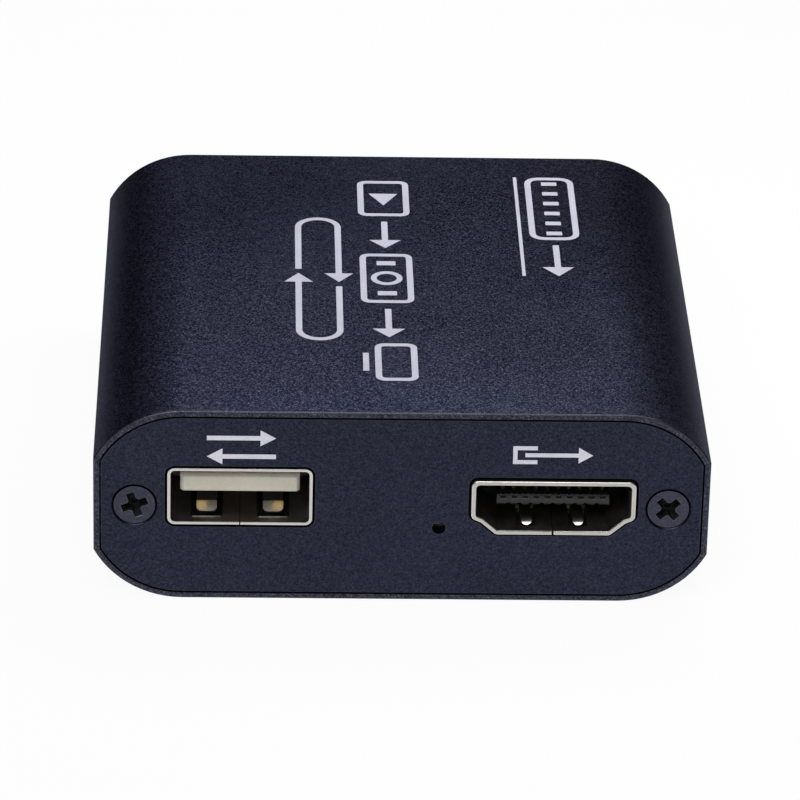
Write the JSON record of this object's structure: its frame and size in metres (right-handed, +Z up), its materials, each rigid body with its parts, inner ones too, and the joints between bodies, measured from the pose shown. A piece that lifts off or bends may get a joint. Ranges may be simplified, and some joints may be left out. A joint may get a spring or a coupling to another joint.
{
  "type": "video capture box",
  "caption": "Flat extruded aluminium box with rounded long edges and screwed end panels: data and video sockets in front, video in behind, board sliding in grooves.",
  "frame": {"origin": "middle of the underside, on the surface the box stands on", "axes": "+X to the right seen from the end with the data socket, +Y to the rear end, +Z up"},
  "size_m": [0.0556, 0.057, 0.019],
  "materials": {
    "anodised_shell": "blue-black anodised over a fine blasted grain",
    "anodised_panel": "blue-black anodised, smooth satin",
    "black_screw": "black zinc, satin",
    "board_green": "solder mask, glossy",
    "nickel_sheet": "bright nickel",
    "warm_nickel_sheet": "bright nickel with a warm tint",
    "cream_plastic": "moulded, satin",
    "black_plastic": "moulded, satin",
    "contact_gold": "gold flash",
    "chip_black": "moulded epoxy, matte",
    "tinned_lead": "tinned, satin",
    "ferrite_grey": "pressed ferrite, matte",
    "can_aluminium": "drawn can, satin",
    "ceramic_tan": "fired ceramic, matte",
    "light_clear": "clear lens over a white body",
    "sign_ink": "white screen-printed ink, matte"
  },
  "bodies": {
    "shell": {"shell": "anodised_shell"},
    "board": {"main_board": "board_green", "data_socket_shell": "nickel_sheet", "data_socket_insulator": "cream_plastic", "data_socket_contacts": "contact_gold", "video_out_shell": "warm_nickel_sheet", "video_out_insulator": "black_plastic", "video_out_contacts": "contact_gold", "video_in_shell": "warm_nickel_sheet", "video_in_insulator": "black_plastic", "video_in_contacts": "contact_gold", "capture_chip": "chip_black", "capture_chip_leads": "tinned_lead", "splitter_chip": "chip_black", "memory_chip": "chip_black", "memory_chip_leads": "tinned_lead", "regulators": "chip_black", "regulator_leads": "tinned_lead", "inductors": "ferrite_grey", "bulk_capacitor_bases": "black_plastic", "bulk_capacitor_cans": "can_aluminium", "crystals": "nickel_sheet", "surge_arrays": "chip_black", "chip_capacitors": "ceramic_tan", "chip_resistors": "chip_black", "status_light": "light_clear"},
    "front_panel": {"front_panel": "anodised_panel"},
    "rear_panel": {"rear_panel": "anodised_panel"},
    "front_screw_left": {"front_screw_left": "black_screw"},
    "front_screw_right": {"front_screw_right": "black_screw"},
    "rear_screw_left": {"rear_screw_left": "black_screw"},
    "rear_screw_right": {"rear_screw_right": "black_screw"}
  },
  "joints": [
    {"name": "board_draw", "type": "slide", "parent": "shell", "child": "board", "axis": [0, -1, 0], "range_m": [0, 0.062]},
    {"name": "front_panel_pull", "type": "slide", "parent": "board", "child": "front_panel", "axis": [0, -1, 0], "range_m": [0, 0.03]},
    {"name": "front_screw_left_out", "type": "slide", "parent": "front_panel", "child": "front_screw_left", "axis": [0, -1, 0], "range_m": [0, 0.009]},
    {"name": "front_screw_right_out", "type": "slide", "parent": "front_panel", "child": "front_screw_right", "axis": [0, -1, 0], "range_m": [0, 0.009]},
    {"name": "rear_panel_pull", "type": "slide", "parent": "shell", "child": "rear_panel", "axis": [0, 1, 0], "range_m": [0, 0.03]},
    {"name": "rear_screw_left_out", "type": "slide", "parent": "rear_panel", "child": "rear_screw_left", "axis": [0, 1, 0], "range_m": [0, 0.009]},
    {"name": "rear_screw_right_out", "type": "slide", "parent": "rear_panel", "child": "rear_screw_right", "axis": [0, 1, 0], "range_m": [0, 0.009]}
  ]
}
